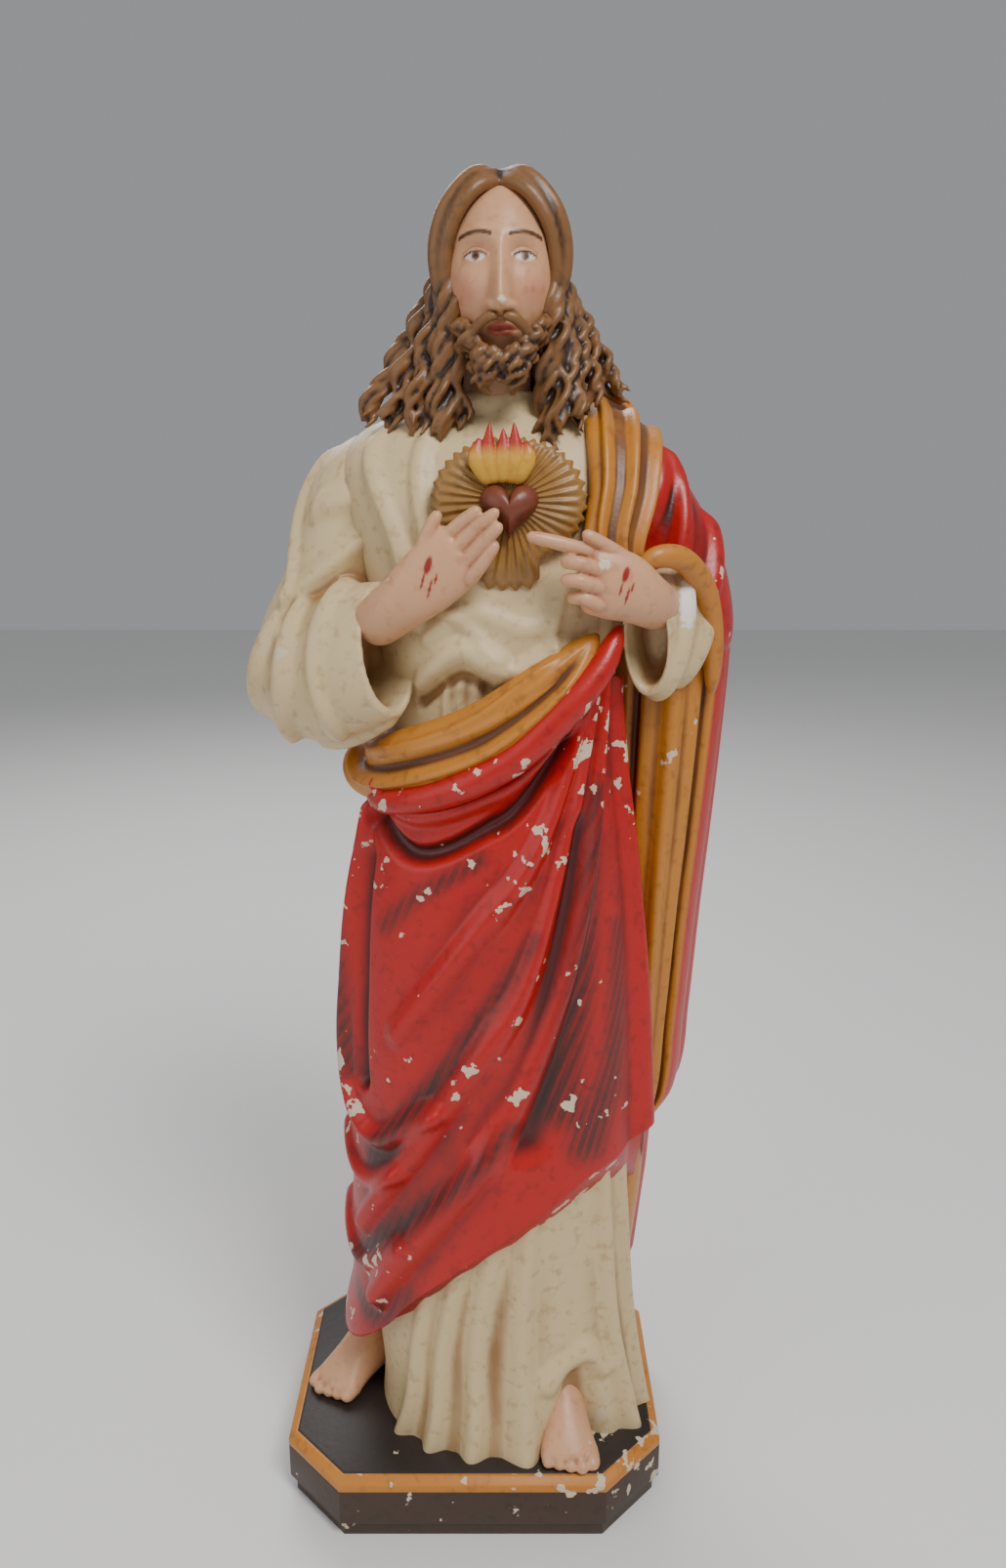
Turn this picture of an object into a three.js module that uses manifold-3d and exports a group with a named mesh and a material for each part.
// A painted plaster statue of a robed, bearded figure on an eight-sided plinth, cast in one piece.
// Millimetres, +Z up. The origin is the centre of the plinth's underside and the figure faces -Y.
import * as THREE from "three";
import { mergeVertices } from "three/addons/utils/BufferGeometryUtils.js";
import Module from "manifold-3d";

const wasm = await Module();
wasm.setup();

// Driving sizes
const HEIGHT = 535;
const PLINTH = { width: 160, depth: 130, corner: 25, height: 30, foot: 8, footInset: 2.5, bevel: 3 };
const FIGURE_X = 11.5; // the figure stands a little to the right of the plinth's centre
const HEAD = { halfWidth: 23.5, halfDepth: 28, halfHeight: 31 };
const FACE = { halfWidth: 19.5, halfDepth: 25, chin: 464, hairline: 523 };
const EMBLEM = { x: 14.5, z: 420, rayRadius: 27, flatter: 5.5, fanReach: 9, heartWidth: 20, heartHeight: 20 };

const SHORTEST_EDGE = 0.6; // closed where forms are joined

// Small tools for numbers
const radians = (degrees) => (degrees * Math.PI) / 180;
const clamp = (value, low = 0, high = 1) => Math.min(Math.max(value, low), high);
const mix = (a, b, share) => a + (b - a) * share;
const ease = (value, low, high) => {
  const t = clamp((value - low) / (high - low));
  return t * t * (3 - 2 * t);
};
const steps = (count) => Array.from({ length: count }, (_, i) => i);

// A smooth function through rows of [key, value, value, ...], with the keys rising.
function smoothTable(rows) {
  const last = rows.length - 1;
  const slope = (k, column) => {
    const [a, b] = [rows[Math.max(k - 1, 0)], rows[Math.min(k + 1, last)]];
    return (b[column] - a[column]) / (b[0] - a[0]);
  };
  return (key) => {
    let i = 0;
    while (i < last - 1 && key > rows[i + 1][0]) i += 1;
    const [a, b] = [rows[i], rows[i + 1]];
    const span = b[0] - a[0];
    const t = clamp((key - a[0]) / span);
    return a.slice(1).map((from, k) => {
      const to = b[k + 1];
      const [leave, arrive] = [slope(i, k + 1) * span, slope(i + 1, k + 1) * span];
      return (
        from * (2 * t ** 3 - 3 * t ** 2 + 1) +
        leave * (t ** 3 - 2 * t ** 2 + t) +
        to * (-2 * t ** 3 + 3 * t ** 2) +
        arrive * (t ** 3 - t ** 2)
      );
    });
  };
}

// Closed meshes and their joins

// A closed skin over rings of equally many points, which run anticlockwise seen from the last ring.
function skin(rings) {
  const around = rings[0].length;
  const points = rings.flat();
  const faces = [];
  for (const r of steps(rings.length - 1)) {
    for (const k of steps(around)) {
      const next = (k + 1) % around;
      const [a, b] = [r * around + k, r * around + next];
      const [c, d] = [a + around, b + around];
      faces.push(a, b, d, a, d, c);
    }
  }
  for (const [ring, flip] of [
    [0, true],
    [rings.length - 1, false],
  ]) {
    const middle = new THREE.Vector3();
    rings[ring].forEach((p) => middle.addScaledVector(p, 1 / around));
    const centre = points.push(middle) - 1;
    for (const k of steps(around)) {
      const [a, b] = [ring * around + k, ring * around + ((k + 1) % around)];
      faces.push(...(flip ? [b, a, centre] : [a, b, centre]));
    }
  }
  return new THREE.BufferGeometry().setFromPoints(points).setIndex(faces);
}

function solid(geometry) {
  const bare = geometry.clone();
  bare.deleteAttribute("normal");
  bare.deleteAttribute("uv");
  const merged = mergeVertices(bare, 1e-4);
  const made = new wasm.Manifold(
    new wasm.Mesh({
      numProp: 3,
      vertProperties: new Float32Array(merged.attributes.position.array),
      triVerts: new Uint32Array(merged.index.array),
    }),
  );
  if (made.volume() > 0) return made;
  const turned = new Uint32Array(merged.index.array).reverse();
  return new wasm.Manifold(
    new wasm.Mesh({
      numProp: 3,
      vertProperties: new Float32Array(merged.attributes.position.array),
      triVerts: turned,
    }),
  );
}

const join = (solids) => solids.reduce((whole, one) => whole.add(one));

// Folds. A fold is a brush stroke on an unrolled surface, whose two coordinates are both close to
// millimetres: a line of points, a half width and a height that each go from the start to the end.

function along(points, u, v) {
  let found = { distance: Infinity, share: 0 };
  const lengths = points.slice(1).map((p, i) => Math.hypot(p[0] - points[i][0], p[1] - points[i][1]));
  const whole = lengths.reduce((a, b) => a + b, 0);
  let before = 0;
  lengths.forEach((length, i) => {
    const [a, b] = [points[i], points[i + 1]];
    const raw = ((u - a[0]) * (b[0] - a[0]) + (v - a[1]) * (b[1] - a[1])) / length ** 2;
    const t = clamp(raw);
    const distance = Math.hypot(u - mix(a[0], b[0], t), v - mix(a[1], b[1], t));
    if (distance < found.distance) found = { distance, share: (before + t * length) / whole };
    before += length;
  });
  return found;
}

// The chosen points of each fold are joined by a smooth line.
function smoothFolds(folds) {
  return folds.map(([points, width, rise]) => {
    const at = smoothTable(points.map((point, i) => [i, ...point]));
    const last = points.length - 1;
    return [steps(13).map((i) => at((last * i) / 12)), width, rise];
  });
}

function foldHeight(folds, u, v) {
  let height = 0;
  for (const [points, width, rise] of folds) {
    const { distance, share } = along(points, u, v);
    const reach = mix(width[0], width[1], share);
    if (distance < reach) height += mix(rise[0], rise[1], share) * (1 - (distance / reach) ** 2) ** 2;
  }
  return height;
}

// A robe is a stack of rounded sections, with folds in degrees around (0 at the front, 90 at the
// right) and millimetres of height: a degree is about a millimetre on a robe of this girth.
const ROBE_ROUNDNESS = 2.3;

function robePoint(sizes, folds, angle, z) {
  const [left, right, front, back] = sizes(z);
  const [s, c] = [Math.sin(radians(angle)), Math.cos(radians(angle))];
  const power = 2 / ROBE_ROUNDNESS;
  const across = Math.sign(s) * Math.abs(s) ** power;
  const deep = -Math.sign(c) * Math.abs(c) ** power;
  const rise = foldHeight(folds, angle, z);
  return new THREE.Vector3(
    (left + right) / 2 + (across * (right - left)) / 2 + rise * s,
    (front + back) / 2 + (deep * (back - front)) / 2 - rise * c,
    z,
  );
}

// Angles around a robe, closer together over the front than over the back.
const frontAngles = (front, back) => [
  ...steps(front).map((i) => -110 + (220 * i) / front),
  ...steps(back).map((i) => 110 + (140 * i) / back),
];

function robe({ stations, folds, angles, levels, hem, top }) {
  const sizes = smoothTable(stations);
  const smooth = smoothFolds(folds);
  const [low, high] = [levels[0], levels[levels.length - 1]];
  return solid(
    skin(
      levels.map((level) =>
        angles.map((angle) => {
          const turned = angle > 180 ? angle - 360 : angle;
          const start = hem ? hem(turned)[0] : low;
          const end = top ? top(turned)[0] : high;
          return robePoint(sizes, smooth, turned, mix(start, end, (level - low) / (high - low)));
        }),
      ),
    ),
  );
}

const levelsBetween = (low, high, count) => steps(count + 1).map((i) => mix(low, high, i / count));

// A limb is an oval tube along a line of rows [x, y, z, half width, half depth], its depth turned
// to the outside of the figure. The folds are in degrees around and in millimetres along.
// A cuff is open for the depth given, so the far end of the tube turns in on itself.
function limb({ rows, around, count, folds = [], facing = [0, -1, 0], cuff = 0 }) {
  const smooth = smoothFolds(folds);
  const at = smoothTable(rows.map((row, i) => [i, ...row]));
  const last = rows.length - 1;
  const face = new THREE.Vector3(...facing);
  let travelled = 0;
  let before = null;
  const rings = steps(count + 1).map((i) => {
    const t = (last * i) / count;
    const [x, y, z, wide, deep] = at(t);
    const here = new THREE.Vector3(x, y, z);
    if (before) travelled += here.distanceTo(before);
    before = here;
    const ahead = new THREE.Vector3(...at(Math.min(t + 0.02, last)).slice(0, 3));
    const behind = new THREE.Vector3(...at(Math.max(t - 0.02, 0)).slice(0, 3));
    const forward = ahead.sub(behind).normalize();
    const side = new THREE.Vector3().crossVectors(forward, face).normalize();
    const out = new THREE.Vector3().crossVectors(side, forward).normalize();
    return steps(around).map((k) => {
      const angle = (360 * k) / around;
      const turned = angle > 180 ? angle - 360 : angle;
      const rise = foldHeight(smooth, turned, travelled);
      const [s, c] = [Math.sin(radians(angle)), Math.cos(radians(angle))];
      return here
        .clone()
        .addScaledVector(out, (deep + rise) * c)
        .addScaledVector(side, (wide + rise) * s);
    });
  });
  if (cuff) rings.push(...cuffRings(rings, cuff));
  return solid(skin(rings));
}

function cuffRings(rings, depth) {
  const [rim, before] = [rings[rings.length - 1], rings[rings.length - 2]];
  const centre = (ring) => {
    const share = 1 / ring.length;
    return ring.reduce((sum, p) => sum.addScaledVector(p, share), new THREE.Vector3());
  };
  const middle = centre(rim);
  const inward = centre(before).sub(middle).normalize();
  return [
    [0, 0.86],
    [depth, 0.7],
  ].map(([deep, share]) => rim.map((p) => middle.clone().lerp(p, share).addScaledVector(inward, deep)));
}

function ellipsoid([x, y, z], [rx, ry, rz], around, rings) {
  const ball = new THREE.SphereGeometry(1, around, rings).rotateX(Math.PI / 2);
  return solid(ball.scale(rx, ry, rz).translate(x, y, z));
}

// Plinth

function octagon(inset, z) {
  const [w, d] = [PLINTH.width / 2 - inset, PLINTH.depth / 2 - inset];
  const cut = PLINTH.corner - inset * (2 - Math.SQRT2);
  return [
    [w, -d + cut],
    [w, d - cut],
    [w - cut, d],
    [-w + cut, d],
    [-w, d - cut],
    [-w, -d + cut],
    [-w + cut, -d],
    [w - cut, -d],
  ].map(([x, y]) => new THREE.Vector3(x, y, z));
}

function plinth() {
  const { footInset, foot, bevel, height } = PLINTH;
  return solid(
    skin([
      octagon(footInset, 0),
      octagon(footInset, foot - 1.5),
      octagon(0, foot),
      octagon(0, height - bevel),
      octagon(bevel, height),
    ]),
  );
}

// Robes: rows of [height, left, right, front, back]

const SKIRT = [
  [26, -42, 75, -54, 44],
  [45, -41, 72, -51, 43],
  [80, -44, 68, -47, 42],
  [130, -42, 66, -45, 42],
  [200, -40, 64, -43, 40],
];
const SKIRT_FOLDS = [
  [[[-52, 26], [-40, 60], [-28, 110]], [7, 6], [5, 2]],
  [[[-33, 26], [-24, 70], [-14, 120]], [7, 6], [5, 3]],
  [[[-14, 26], [-8, 80], [-2, 130]], [7, 6], [5, 3]],
  [[[4, 26], [6, 80], [10, 150]], [8, 6], [6, 3]],
  [[[26, 26], [28, 48], [26, 70]], [22, 10], [-15, -2]],
  [[[16, 62], [34, 72], [44, 62]], [9, 7], [4, 4]],
  [[[58, 26], [50, 90], [46, 165]], [8, 7], [7, 4]],
  [[[76, 26], [70, 90], [64, 160]], [8, 7], [5, 3]],
];

const WRAP = [
  [50, -58, 73, -53, 47],
  [70, -58, 74, -55, 48],
  [90, -54, 74, -55, 48],
  [120, -53, 73, -54, 48],
  [160, -52, 73, -53, 47],
  [205, -53, 71, -52, 46],
  [235, -51, 69, -51, 45],
  [268, -48, 66, -50, 44],
  [297, -43, 63, -49, 42],
  [321, -39, 60, -47, 40],
  [350, -36, 58, -44, 38],
];
// The wrap's lower edge climbs from the left hip's hem to the right knee; behind, it hangs low.
const WRAP_HEM = smoothTable([
  [-180, 62],
  [-120, 62],
  [-80, 66],
  [-60, 72],
  [-45, 84],
  [-30, 102],
  [-10, 121],
  [10, 142],
  [30, 157],
  [50, 163],
  [75, 170],
  [100, 120],
  [130, 72],
  [180, 62],
]);
// Its upper edge drops to the right hip, under the roll of lining.
const WRAP_TOP = smoothTable([
  [-180, 336],
  [-95, 320],
  [-40, 325],
  [0, 340],
  [40, 358],
  [90, 350],
  [180, 336],
]);
const WRAP_FOLDS = [
  [[[62, 368], [66, 300], [68, 230], [66, 160]], [6, 11], [4, 7]],
  [[[54, 366], [42, 310], [24, 240], [-6, 165], [-48, 100]], [4, 9], [4, 6]],
  [[[48, 364], [30, 310], [8, 240], [-22, 180], [-58, 130]], [4, 8], [4, 5]],
  [[[42, 358], [18, 305], [-8, 258], [-34, 220]], [4, 8], [4, 4]],
  [[[30, 345], [0, 318], [-30, 308], [-58, 316]], [6, 7], [5, 6]],
  [[[26, 334], [0, 305], [-30, 292], [-60, 304]], [5, 6], [-4, -6]],
  [[[-66, 305], [-74, 240], [-72, 190], [-48, 172], [-20, 190]], [6, 7], [5, 5]],
  [[[-62, 285], [-60, 240], [-58, 195]], [8, 8], [-5, -5]],
  [[[-88, 160], [-60, 150], [-36, 160]], [6, 6], [4, 3]],
  [[[-92, 122], [-60, 110], [-36, 128]], [6, 6], [4, 3]],
  [[[30, 300], [20, 230], [6, 180]], [12, 16], [-3, -5]],
  [[[-130, 320], [-120, 200], [-128, 70]], [10, 12], [5, 6]],
  [[[-165, 330], [-160, 200], [-165, 70]], [10, 12], [5, 6]],
  [[[165, 330], [160, 200], [162, 70]], [10, 12], [5, 6]],
  [[[135, 330], [128, 200], [130, 80]], [10, 12], [5, 6]],
];

const TORSO = [
  [318, -34, 56, -41, 38],
  [350, -34, 56, -41, 38],
  [362, -35, 57, -46, 38],
  [378, -37, 59, -47, 38],
  [400, -42, 63, -44, 37],
  [422, -48, 68, -40, 36],
  [436, -47, 67, -33, 34],
  [446, -38, 59, -25, 28],
  [453, -18, 42, -19, 20],
  [458, -8, 31, -15, 13],
];
const TORSO_FOLDS = [
  [[[-50, 440], [-38, 410], [-36, 380]], [7, 7], [3, 4]],
  [[[-24, 448], [-24, 420], [-22, 395]], [6, 6], [3, 3]],
  [[[42, 448], [44, 420], [42, 396]], [6, 6], [4, 4]],
  [[[-34, 356], [-14, 368], [4, 360], [24, 368], [38, 362]], [7, 7], [4, 4]],
];

// The mantle that hangs from the left arm: lining to the front, outside to the right and behind.
const HANGING = [
  [72, 52, 69, -6, 42],
  [120, 52, 74, -10, 44],
  [156, 52, 78, -11, 44],
  [172, 52, 88, -11, 43],
  [205, 52, 91, -12, 42],
  [250, 52, 94, -13, 41],
  [300, 52, 98, -15, 40],
  [345, 52, 101, -17, 38],
  [372, 52, 102, -18, 36],
];
const HANGING_FOLDS = [
  [[[-30, 372], [-32, 200], [-30, 72]], [9, 8], [-4, -3]],
  [[[2, 372], [0, 200], [-4, 72]], [9, 8], [4, 4]],
  [[[34, 372], [30, 250], [26, 170]], [8, 7], [-4, -4]],
  [[[100, 372], [96, 250], [96, 80]], [12, 12], [3, 4]],
];

function robes() {
  const skirt = robe({
    stations: SKIRT,
    folds: SKIRT_FOLDS,
    angles: frontAngles(30, 7),
    levels: levelsBetween(26, 190, 6),
  });
  const wrap = robe({
    stations: WRAP,
    folds: WRAP_FOLDS,
    angles: frontAngles(34, 9),
    levels: levelsBetween(60, 350, 17),
    hem: WRAP_HEM,
    top: WRAP_TOP,
  });
  const torso = robe({
    stations: TORSO,
    folds: TORSO_FOLDS,
    angles: frontAngles(20, 7),
    levels: levelsBetween(318, 458, 9),
  });
  const hanging = robe({
    stations: HANGING,
    folds: HANGING_FOLDS,
    angles: frontAngles(14, 4),
    levels: levelsBetween(72, 372, 7),
  });
  return join([skirt, wrap, torso, hanging]);
}

// Rolls of cloth at the waist, over the shoulder and down the arms

function rolls() {
  const lining = limb({
    rows: [
      [-36, 22, 324, 9, 5],
      [-39, -12, 319, 12, 6],
      [-20, -41, 327, 13, 6],
      [6, -50, 338, 13, 6],
      [30, -50, 356, 11, 6],
      [46, -43, 374, 5, 4],
    ],
    around: 8,
    count: 11,
    facing: [0, -1, 0.3],
    folds: [
      [[[0, 20], [0, 130]], [30, 30], [-3, -3]],
    ],
  });
  const hem = limb({
    rows: [
      [-40, -6, 308, 4, 5],
      [-29, -37, 311, 5, 6],
      [-6, -51, 319, 6, 6],
      [16, -54, 331, 6, 6],
      [34, -53, 348, 6, 6],
      [47, -49, 363, 5, 5],
      [54, -43, 377, 4, 4],
    ],
    around: 6,
    count: 10,
  });
  const shoulder = limb({
    rows: [
      [50, 22, 434, 15, 6],
      [54, 2, 447, 15, 5],
      [55, -22, 441, 14, 5],
      [54, -35, 424, 12, 5],
      [50, -42, 404, 10, 5],
      [54, -42, 386, 9, 5],
    ],
    around: 12,
    count: 8,
    facing: [0.3, -1, 0.4],
    folds: [
      [[[-55, 0], [-50, 60], [-60, 100]], [16, 14], [3.5, 3]],
      [[[-15, 0], [-8, 60], [-14, 100]], [14, 13], [3.5, 3]],
      [[[30, 0], [34, 60], [28, 100]], [14, 14], [3.5, 3]],
    ],
  });
  return join([lining, hem, shoulder]);
}

const UPPER_FOLDS = [
  [[[-60, 20], [-10, 44], [40, 66]], [9, 8], [4, 3]],
  [[[-70, 44], [-20, 66], [40, 84]], [9, 8], [3.5, 3]],
  [[[90, 20], [60, 50], [20, 90]], [9, 8], [3, 3]],
];
const LOWER_FOLDS = [
  [[[-150, 14], [-60, 26], [0, 22], [60, 8]], [6, 6], [3.5, 4]],
  [[[-150, 30], [-60, 40], [0, 37], [70, 24]], [5, 6], [3.5, 4]],
];

function arms() {
  const rightUpper = limb({
    rows: [
      [-28, 6, 442, 15, 18],
      [-42, 4, 418, 20, 22],
      [-50, 2, 388, 22, 24],
      [-58, 2, 360, 26, 26],
      [-57, 0, 340, 18, 20],
    ],
    around: 14,
    count: 8,
    folds: UPPER_FOLDS,
  });
  const rightSleeve = limb({
    rows: [
      [-62, 14, 352, 14, 10],
      [-62, -2, 355, 26, 23],
      [-52, -17, 358, 28, 23],
      [-40, -29, 364, 27, 19],
      [-29, -38, 368, 25, 14],
    ],
    around: 16,
    count: 8,
    facing: [-0.6, -0.7, 0.2],
    folds: LOWER_FOLDS,
    cuff: 16,
  });
  const leftUpper = limb({
    rows: [
      [52, 6, 440, 14, 18],
      [66, 6, 420, 17, 22],
      [77, 6, 396, 20, 24],
      [82, 6, 372, 21, 24],
      [82, 4, 352, 18, 20],
    ],
    around: 12,
    count: 8,
    folds: UPPER_FOLDS,
  });
  const leftSleeve = limb({
    rows: [
      [80, 4, 376, 16, 14],
      [76, -12, 375, 21, 16],
      [70, -26, 373, 22, 12],
      [64, -38, 371, 21, 9],
    ],
    around: 12,
    count: 5,
    facing: [0.9, -0.4, 0],
    cuff: 10,
  });
  const wristBand = limb({
    rows: [
      [58, -44, 396, 3, 3],
      [67, -42, 401, 4, 3.6],
      [77, -36, 399, 4.4, 4],
      [86, -27, 388, 4.4, 4],
      [91, -20, 370, 4, 4],
      [92, -16, 348, 3.6, 4],
    ],
    around: 6,
    count: 8,
  });
  return join([rightUpper, rightSleeve, leftUpper, leftSleeve, wristBand]);
}

// Hands and feet

// A finger is a tapered tube through three or four joints.
function finger(joints, radius) {
  return limb({
    rows: joints.map((p, i) => [...p, radius * (1 - 0.09 * i), radius * (1 - 0.09 * i)]),
    around: 5,
    count: joints.length,
    facing: [0, -1, 0.2],
  });
}

function hands() {
  const rightPalm = limb({
    rows: [
      [-38, -36, 374, 10, 8],
      [-26, -45, 383, 9.5, 7.5],
      [-14, -50, 393, 11.5, 6],
      [-4, -52, 402, 11.5, 5],
      [0, -53, 405, 9, 3.5],
    ],
    around: 8,
    count: 6,
    facing: [0, -1, 0],
  });
  const rightFingers = [
    [[-18, -50, 396], [-14, -52, 408], [-9, -53, 417]],
    [[-10, -52, 405], [-3, -54, 412], [5, -57, 418]],
    [[-6, -53, 402], [2, -56, 410], [11, -60, 417.5]],
    [[-2, -53, 398], [5, -57, 406], [12, -60, 413]],
    [[0, -53, 393], [5, -56, 399], [10.5, -58, 407]],
  ].map((joints, i) => finger(joints, i === 0 ? 3.1 : 2.75));
  const leftPalm = limb({
    rows: [
      [72, -28, 380, 9, 8],
      [63, -44, 386, 9.5, 7.5],
      [54, -50, 391, 12, 7],
      [44, -53, 394, 12, 6],
      [39, -54, 395, 10, 4],
    ],
    around: 8,
    count: 6,
    facing: [0, -1, 0],
  });
  const leftFingers = [
    [[56, -50, 400], [48, -54, 405], [39, -57, 410]],
    [[46, -53, 402], [33, -57, 406], [20, -58, 409]],
    [[47, -56, 397], [38, -60, 400], [32, -57, 400]],
    [[47, -56, 391], [38, -60, 394], [32, -57, 394]],
    [[47, -55, 385], [40, -58, 388], [34.5, -55, 388]],
  ].map((joints) => finger(joints, 2.9));
  return join([rightPalm, ...rightFingers, leftPalm, ...leftFingers]);
}

function foot({ heel, toes, spread }) {
  const middle = toes.map((v, i) => mix(heel[i], v, 0.55));
  const base = limb({
    rows: [
      [heel[0], heel[1], 44, 8, 13],
      [middle[0], middle[1], 39, 10, 11],
      [toes[0], toes[1], 34, 12, 6],
      [toes[0] + (toes[0] - middle[0]) * 0.25, toes[1] + (toes[1] - middle[1]) * 0.25, 32, 10, 4],
    ],
    around: 9,
    count: 5,
    facing: [0, 0, 1],
  });
  const way = new THREE.Vector2(toes[0] - heel[0], toes[1] - heel[1]).normalize();
  const across = new THREE.Vector2(-way.y, way.x);
  const each = steps(5).map((i) => {
    const off = (i - 2) * 4.4 * spread;
    const reach = 9 - 1.5 * Math.abs(i - 1);
    const thick = i === 0 ? 3.6 : 2.9;
    const from = [toes[0] + across.x * off, toes[1] + across.y * off];
    return limb({
      rows: [
        [from[0] - way.x * 5, from[1] - way.y * 5, 34, thick, thick],
        [from[0] + way.x * reach * 0.5, from[1] + way.y * reach * 0.5, 33, thick, thick],
        [from[0] + way.x * reach, from[1] + way.y * reach, 31.5, thick * 0.7, thick * 0.7],
      ],
      around: 5,
      count: 2,
      facing: [0, 0, 1],
    });
  });
  return join([base, ...each]);
}

function feet() {
  return join([
    foot({ heel: [-44, 6, 40], toes: [-62, -15, 34], spread: 1 }),
    foot({ heel: [37, -28, 48], toes: [40, -55, 35], spread: -1 }),
  ]);
}

// Head, hair and beard

function head() {
  const middle = (FACE.chin + FACE.hairline) / 2;
  const { halfWidth, halfDepth, halfHeight } = HEAD;
  const skull = ellipsoid([FIGURE_X, 0, HEIGHT - halfHeight], [halfWidth, halfDepth, halfHeight], 14, 9);
  const faceHalfHeight = (FACE.hairline - FACE.chin) / 2 + 3;
  const faceSizes = [FACE.halfWidth, FACE.halfDepth, faceHalfHeight];
  const face = ellipsoid([FIGURE_X, -13, middle + 3], faceSizes, 12, 9);
  const neck = limb({
    rows: [
      [10, -2, 440, 15, 14],
      [10, -4, 458, 13, 13],
      [FIGURE_X, -6, 478, 13, 13],
    ],
    around: 12,
    count: 3,
    facing: [0, -1, 0],
  });
  const nose = limb({
    rows: [
      [FIGURE_X, -36, 502, 2, 2],
      [FIGURE_X, -40, 490, 2.6, 3],
      [FIGURE_X, -42, 484, 4, 3.4],
      [FIGURE_X, -37, 480, 3, 2.5],
    ],
    around: 8,
    count: 5,
  });
  return join([skull, face, neck, nose]);
}

// A lock of hair is a tapered tube whose line waves from side to side.
function lock({ start, end, bow = [0, 0, 0], radius, waves, sway, phase = 0 }) {
  const from = new THREE.Vector3(...start);
  const to = new THREE.Vector3(...end);
  const turn = from.clone().add(to).multiplyScalar(0.5).add(new THREE.Vector3(...bow));
  const curve = new THREE.QuadraticBezierCurve3(from, turn, to);
  const count = Math.round(waves * 3);
  const rows = steps(count + 1).map((i) => {
    const t = i / count;
    const p = curve.getPoint(t);
    const wave = sway * ease(t, 0, 0.5) * Math.sin(2 * Math.PI * waves * t + phase);
    const thick = radius * (1 - 0.45 * t);
    return [p.x + wave, p.y - 0.3 * wave, p.z + 0.25 * wave, thick, thick * 0.8];
  });
  return limb({ rows, around: 5, count, facing: [0, -1, 0.1] });
}

function hair() {
  const ends = {
    [-1]: [[14, -27, 444], [28, -27, 441], [42, -19, 445], [52, -9, 447], [36, 8, 446]],
    1: [[14, -25, 441], [23, -29, 441], [35, -22, 451], [45, -10, 455], [32, 8, 450]],
  };
  const sides = [-1, 1].flatMap((side) =>
    ends[side].map(([spread, depth, drop], i) =>
      lock({
        start: [FIGURE_X + side * (17 + i), -20 + 8 * i, 510 - i],
        end: [FIGURE_X + side * spread, depth, drop],
        bow: [side * (2.5 - 2 * i), -3, 5],
        radius: 6.5,
        waves: 2.6,
        sway: 2.6,
        phase: 1.9 * i,
      }),
    ),
  );
  const crown = [-1, 1].map((side) =>
    limb({
      rows: [
        [FIGURE_X + side * 2, 8, 530, 5, 5],
        [FIGURE_X + side * 4.5, -18, 527.5, 6, 4.5],
        [FIGURE_X + side * 14, -25, 517.5, 6, 5],
        [FIGURE_X + side * 20, -22.5, 502, 5, 6],
        [FIGURE_X + side * 22, -19, 482, 4, 6],
      ],
      around: 6,
      count: 6,
      facing: [0, -1, 0.4],
    }),
  );
  const behind = limb({
    rows: [
      [FIGURE_X, 6, 515, 14, 13],
      [FIGURE_X, 10, 495, 25, 20],
      [FIGURE_X, 11, 470, 27, 19],
      [FIGURE_X, 16, 448, 32, 15],
      [FIGURE_X, 24, 430, 27, 9],
    ],
    around: 10,
    count: 5,
    facing: [0, -1, 0],
  });
  return join([...sides, ...crown, behind]);
}

function beard() {
  const jaw = [-1, 1].map((side) =>
    limb({
      rows: [
        [FIGURE_X + side * 17, -20, 484, 3, 4],
        [FIGURE_X + side * 14, -28, 472, 5, 5],
        [FIGURE_X + side * 7, -35, 466, 6.5, 6],
        [FIGURE_X + side * 4, -37, 461, 4.5, 4],
      ],
      around: 8,
      count: 5,
      facing: [0, -1, 0],
    }),
  );
  const moustache = [-1, 1].map((side) =>
    limb({
      rows: [
        [FIGURE_X - side, -38.5, 480, 2, 2],
        [FIGURE_X + side * 6, -37.5, 478.5, 2.2, 2.2],
        [FIGURE_X + side * 12, -33, 473, 1.8, 1.8],
      ],
      around: 6,
      count: 3,
      facing: [0, 0, 1],
    }),
  );
  return join([...jaw, ...moustache]);
}

// The heart on its rays, with flames above, in relief on the chest

function raised(outline, front, back) {
  const shape = new THREE.Shape(outline.map(([x, z]) => new THREE.Vector2(x, z)));
  return solid(
    new THREE.ExtrudeGeometry(shape, { depth: back - front, bevelEnabled: false, curveSegments: 4 })
      .rotateX(Math.PI / 2)
      .translate(0, back, 0),
  );
}

function emblem() {
  const { x, z, rayRadius, flatter, fanReach, heartWidth, heartHeight } = EMBLEM;
  const spokes = 32;
  const glory = steps(spokes).map((i) => {
    const angle = (2 * Math.PI * i) / spokes;
    const below = ease(-Math.sin(angle), 0.86, 0.97);
    const disc = rayRadius - flatter * Math.sin(angle) ** 2;
    const reach = (disc + fanReach * below) * (i % 2 ? 0.95 : 1);
    return [x + reach * Math.cos(angle), z + reach * Math.sin(angle)];
  });
  const points = 20;
  const heart = steps(points).map((i) => {
    const a = (2 * Math.PI * i) / points;
    const across = Math.sin(a) ** 3;
    const up = (13 * Math.cos(a) - 5 * Math.cos(2 * a) - 2 * Math.cos(3 * a) - Math.cos(4 * a)) / 16;
    return [x - (across * heartWidth) / 2, z + (up * heartHeight) / 2 - 2];
  });
  const flames = [
    [-2.5, 8], [2.5, 8], [5, 13], [11, 16], [11.5, 25], [-11.5, 25], [-11, 16], [-5, 13],
  ].map(([across, up]) => [x + across - 2, z + up]);
  return join([
    raised(glory, -48, -36),
    raised(flames, -49, -30),
    raised(heart, -54, -40),
    ellipsoid([x, -51, z - 1], [8, 5.5, 8], 10, 7),
  ]);
}

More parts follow.
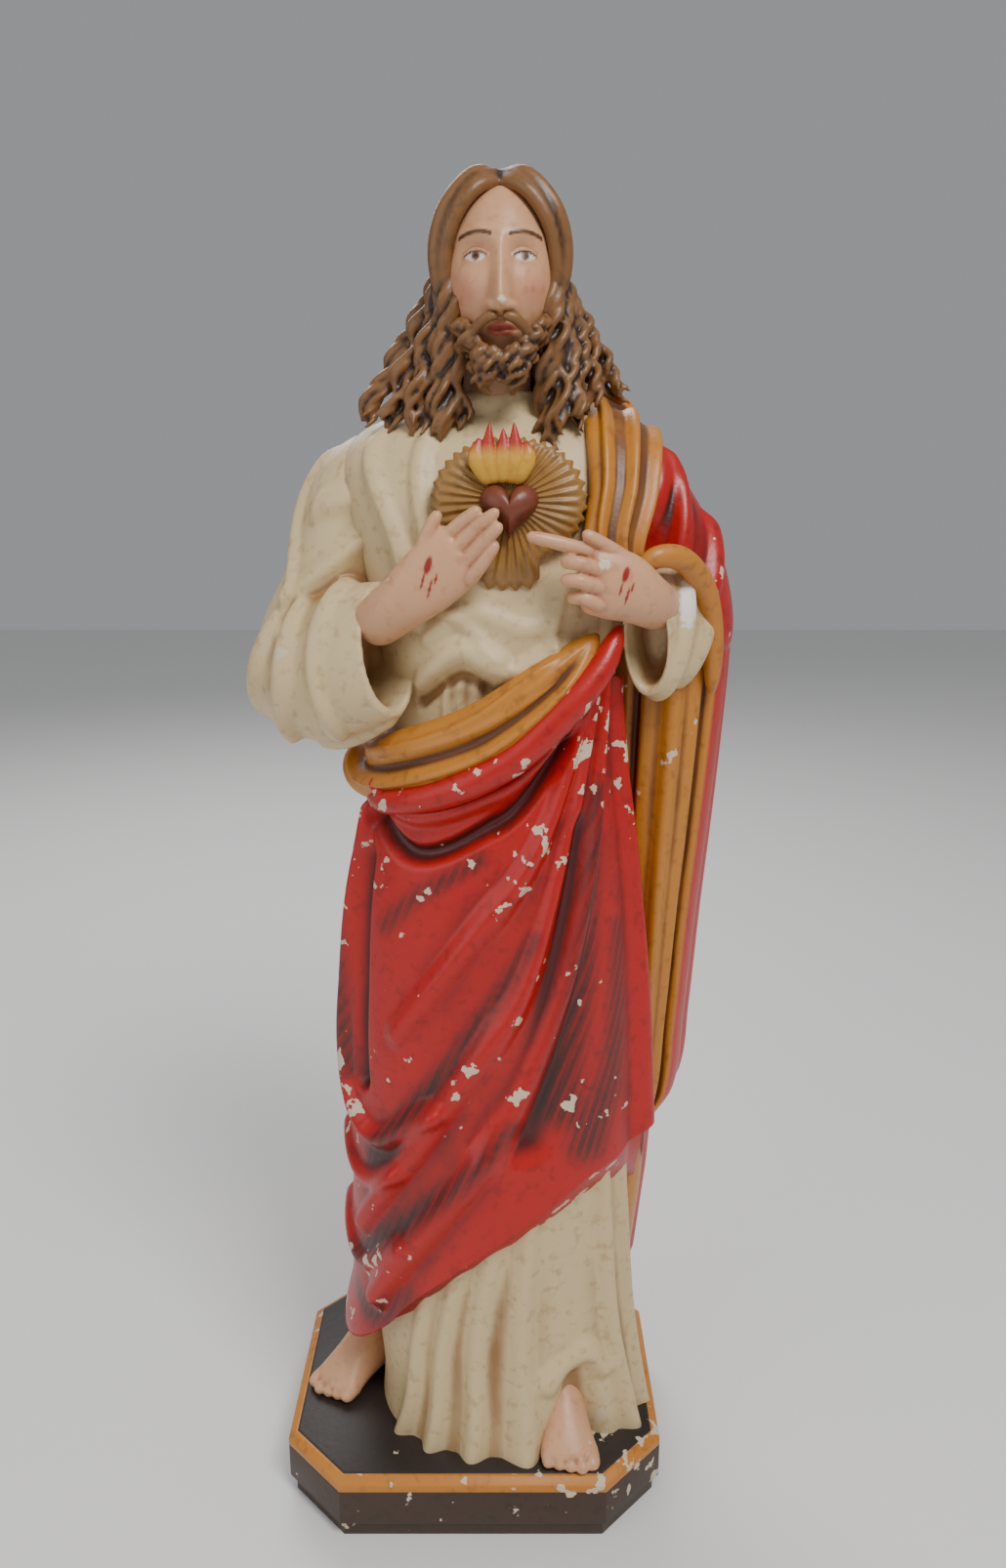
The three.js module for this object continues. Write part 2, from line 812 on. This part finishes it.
const statue = join([plinth(), robes(), rolls(), arms(), hands(), feet(), head(), hair(), beard(), emblem()]);

// The one cast piece as a mesh. It is cast full, so small hollows that the joined forms shut in are
// filled: only the skin that holds the greatest volume is kept.
function outerSkin(positions, triangles) {
  const root = steps(positions.length / 3);
  const find = (i) => {
    while (root[i] !== i) i = root[i] = root[root[i]];
    return i;
  };
  for (let t = 0; t < triangles.length; t += 3) {
    root[find(triangles[t])] = find(triangles[t + 1]);
    root[find(triangles[t + 1])] = find(triangles[t + 2]);
  }
  const volumes = new Map();
  const corner = (i) => new THREE.Vector3(...positions.subarray(i * 3, i * 3 + 3));
  for (let t = 0; t < triangles.length; t += 3) {
    const [a, b, c] = [corner(triangles[t]), corner(triangles[t + 1]), corner(triangles[t + 2])];
    const skinOf = find(triangles[t]);
    volumes.set(skinOf, (volumes.get(skinOf) ?? 0) + a.dot(b.cross(c)) / 6);
  }
  const [kept] = [...volumes].sort((one, other) => other[1] - one[1])[0];
  return triangles.filter((_, i) => find(triangles[i - (i % 3)]) === kept);
}

// Joins leave some very short edges. Each is closed by moving one end onto the other, where the two
// ends share just two neighbours, so that the skin stays closed, and where no face turns over.
function closeShortEdges(positions, triangles) {
  const faces = steps(triangles.length / 3).map((i) => [...triangles.subarray(i * 3, i * 3 + 3)]);
  const point = (i) => new THREE.Vector3(...positions.subarray(i * 3, i * 3 + 3));
  const facesOf = steps(positions.length / 3).map(() => new Set());
  faces.forEach((face, i) => face.forEach((corner) => facesOf[corner].add(i)));
  const neighbours = (v) => new Set([...facesOf[v]].flatMap((i) => faces[i]).filter((w) => w !== v));
  const facing = (corners) => {
    const [a, b, c] = corners.map(point);
    return b.sub(a).cross(c.sub(a));
  };
  const close = (kept, gone) => {
    const shared = [...neighbours(kept)].filter((v) => neighbours(gone).has(v));
    if (shared.length !== 2) return false;
    const moved = [...facesOf[gone]].filter((i) => !faces[i].includes(kept));
    const after = (i) => faces[i].map((v) => (v === gone ? kept : v));
    const turns = (i) => facing(faces[i]).dot(facing(after(i))) < 0;
    if (moved.some((i) => facing(faces[i]).length() > 1e-3 && turns(i))) return false;
    for (const i of [...facesOf[gone]]) {
      faces[i].forEach((v) => facesOf[v].delete(i));
      if (!moved.includes(i)) {
        faces[i] = null;
        continue;
      }
      faces[i] = after(i);
      faces[i].forEach((v) => facesOf[v].add(i));
    }
    return true;
  };
  for (const _ of steps(4)) {
    for (const i of steps(faces.length)) {
      for (const k of [0, 1, 2]) {
        if (!faces[i]) break;
        const [a, b] = [faces[i][k], faces[i][(k + 1) % 3]];
        if (point(a).distanceTo(point(b)) < SHORTEST_EDGE && !close(a, b)) close(b, a);
      }
    }
  }
  return faces.filter(Boolean).flat();
}

function meshOf(made, name, material) {
  const found = made.getMesh();
  const positions = new Float32Array(found.numVert * 3);
  for (const i of steps(found.numVert)) {
    positions.set(found.vertProperties.subarray(i * found.numProp, i * found.numProp + 3), i * 3);
  }
  const faces = outerSkin(positions, new Uint32Array(found.triVerts));
  const geometry = new THREE.BufferGeometry();
  geometry.setAttribute("position", new THREE.BufferAttribute(positions, 3));
  geometry.setIndex(closeShortEdges(positions, faces));
  geometry.computeVertexNormals();
  const mesh = new THREE.Mesh(geometry, material);
  mesh.name = name;
  return mesh;
}

const paintedPlaster = new THREE.MeshStandardMaterial({ color: 0xb5403a, roughness: 0.55, metalness: 0 });
const group = new THREE.Group();
group.add(meshOf(statue, "statue", paintedPlaster));

export default group;
